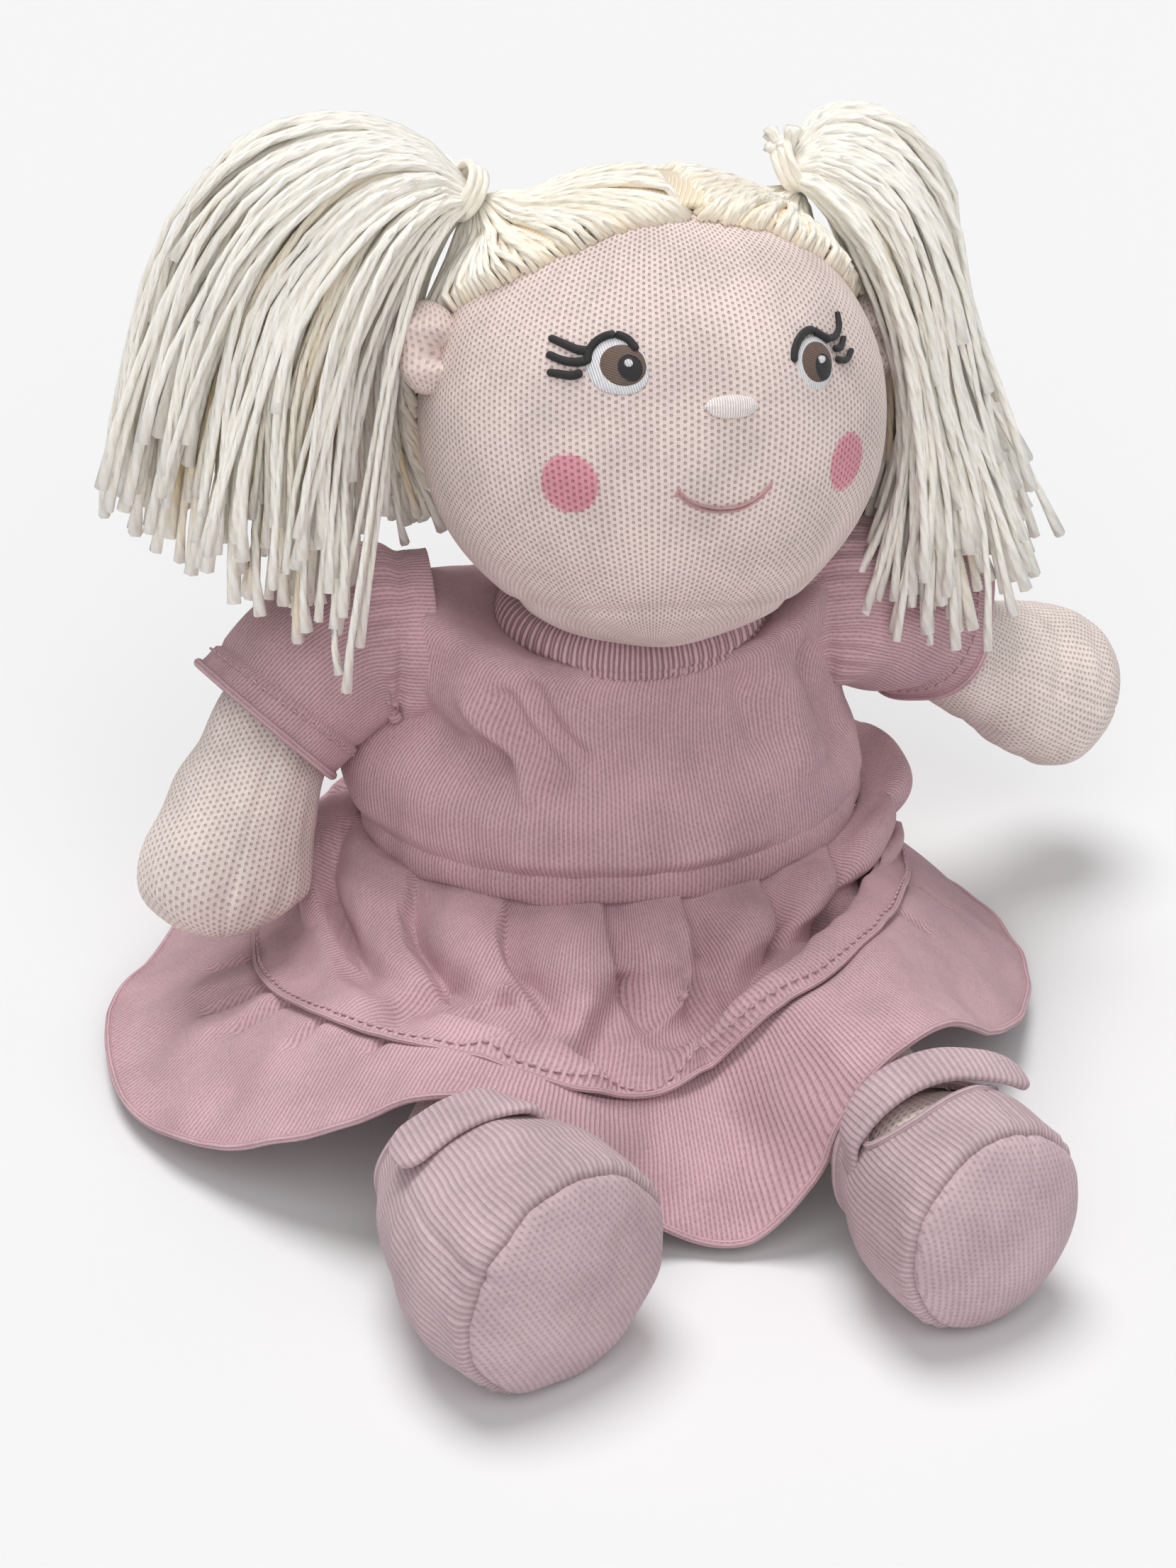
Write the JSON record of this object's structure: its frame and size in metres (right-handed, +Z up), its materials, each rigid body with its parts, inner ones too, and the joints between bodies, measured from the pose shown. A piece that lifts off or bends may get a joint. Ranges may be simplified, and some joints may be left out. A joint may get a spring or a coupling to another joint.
{
  "type": "musical doll",
  "caption": "Seated soft knit doll with yarn pigtails, a rose knitted dress, strap shoes and a wind-up musical movement in its back.",
  "frame": {"origin": "middle of the flat seat under the torso", "axes": "+Z up; the doll's body faces -Y; its left hand is on +X"},
  "size_m": [0.2932, 0.2892, 0.2324],
  "materials": {
    "peach_knit": "jersey knit",
    "limb_knit": "jersey knit",
    "cream_yarn": "twisted cotton yarn",
    "rose_knit": "rib and jersey knit",
    "shoe_knit": "jersey knit",
    "black_thread": "satin stitch",
    "white_thread": "satin stitch",
    "brown_thread": "satin stitch",
    "pink_thread": "satin stitch",
    "button": "satin",
    "movement_plastic": "satin",
    "steel": "polished",
    "brass": "polished"
  },
  "bodies": {
    "torso": {"torso": "limb_knit", "collar": "rose_knit", "bodice": "rose_knit", "waist_band": "rose_knit", "skirt_upper_tier": "rose_knit", "skirt_flounce": "rose_knit", "dress_button": "button", "movement_case": "movement_plastic", "case_lid": "movement_plastic", "bedplate": "steel", "comb": "steel", "comb_screw_1": "brass", "comb_screw_2": "brass", "governor_bracket": "brass"},
    "neck": {"neck": "peach_knit"},
    "head": {"head": "peach_knit", "ear_right": "peach_knit", "ear_left": "peach_knit", "hair_cap": "cream_yarn", "eye_white_right": "white_thread", "iris_right": "brown_thread", "lid_and_lashes_right": "black_thread", "eye_white_left": "white_thread", "iris_left": "brown_thread", "lid_and_lashes_left": "black_thread", "nose": "pink_thread", "mouth": "pink_thread"},
    "pigtail_right": {"pigtail_right": "cream_yarn", "hair_tie_right": "cream_yarn"},
    "pigtail_left": {"pigtail_left": "cream_yarn", "hair_tie_left": "cream_yarn"},
    "arm_right": {"arm_right": "limb_knit", "sleeve_right": "rose_knit"},
    "arm_left": {"arm_left": "limb_knit", "sleeve_left": "rose_knit"},
    "leg_right": {"leg_right": "limb_knit", "shoe_upper_right": "shoe_knit", "shoe_sole_right": "shoe_knit"},
    "leg_left": {"leg_left": "limb_knit", "shoe_upper_left": "shoe_knit", "shoe_sole_left": "shoe_knit"},
    "strap_right": {"shoe_strap_right": "shoe_knit"},
    "strap_left": {"shoe_strap_left": "shoe_knit"},
    "barrel": {"spring_barrel": "brass"},
    "cylinder": {"pinned_cylinder": "brass"},
    "fly": {"governor_fly": "steel"},
    "key": {"winding_shaft": "steel", "winding_key": "steel"}
  },
  "joints": [
    {"name": "head_turn", "type": "hinge", "parent": "torso", "child": "neck", "pos_m": [0.0085, -0.012, 0.106], "axis": [0, 0, 1], "range_deg": [-30, 30], "deforming": ["neck", "collar"]},
    {"name": "head_nod", "type": "hinge", "parent": "neck", "child": "head", "pos_m": [0.0085, -0.012, 0.112], "axis": [1, 0, 0], "range_deg": [-2, 10]},
    {"name": "pigtail_right_swing", "type": "hinge", "parent": "head", "child": "pigtail_right", "pos_m": [-0.03016, 0.00483, 0.21567], "axis": [-0.161, 0.9131, -0.3746], "range_deg": [0, 35]},
    {"name": "pigtail_left_swing", "type": "hinge", "parent": "head", "child": "pigtail_left", "pos_m": [0.05089, 0.01569, 0.20748], "axis": [0.161, -0.9131, 0.3746], "range_deg": [0, 35]},
    {"name": "arm_right_swing", "type": "hinge", "parent": "torso", "child": "arm_right", "pos_m": [-0.058, 0.002, 0.1], "axis": [1, 0, 0], "range_deg": [-60, 0]},
    {"name": "arm_left_swing", "type": "hinge", "parent": "torso", "child": "arm_left", "pos_m": [0.058, 0.002, 0.1], "axis": [1, 0, 0], "range_deg": [-110, 30]},
    {"name": "leg_right_swing", "type": "hinge", "parent": "torso", "child": "leg_right", "pos_m": [-0.028, -0.035, 0.022], "axis": [0.9563, -0.2924, 0], "range_deg": [0, 80]},
    {"name": "strap_right_open", "type": "hinge", "parent": "leg_right", "child": "strap_right", "pos_m": [-0.02958, -0.15268, 0.0406], "axis": [-0.4719, 0.8816, 0.0098], "range_deg": [0, 60]},
    {"name": "leg_left_swing", "type": "hinge", "parent": "torso", "child": "leg_left", "pos_m": [0.028, -0.035, 0.022], "axis": [0.9816, 0.1908, 0], "range_deg": [0, 80]},
    {"name": "strap_left_open", "type": "hinge", "parent": "leg_left", "child": "strap_left", "pos_m": [0.0261, -0.15048, 0.0301], "axis": [0.0057, -0.9985, -0.0547], "range_deg": [0, 60]},
    {"name": "barrel_spin", "type": "hinge", "parent": "torso", "child": "barrel", "pos_m": [-0.009, 0.0167, 0.073], "axis": [0, 1, 0], "continuous": true},
    {"name": "cylinder_spin", "type": "hinge", "parent": "torso", "child": "cylinder", "pos_m": [0.009, 0.0167, 0.073], "axis": [0, 1, 0], "continuous": true},
    {"name": "fly_spin", "type": "hinge", "parent": "torso", "child": "fly", "pos_m": [0.009, 0.0167, 0.0841], "axis": [0, 1, 0], "continuous": true},
    {"name": "key_wind", "type": "hinge", "parent": "torso", "child": "key", "pos_m": [-0.009, 0.023, 0.073], "axis": [0, 1, 0], "continuous": true}
  ],
  "couplings": [
    {"joint": "cylinder_spin", "follows": "barrel_spin", "ratio": -1.507},
    {"joint": "fly_spin", "follows": "barrel_spin", "ratio": 2.8158}
  ]
}
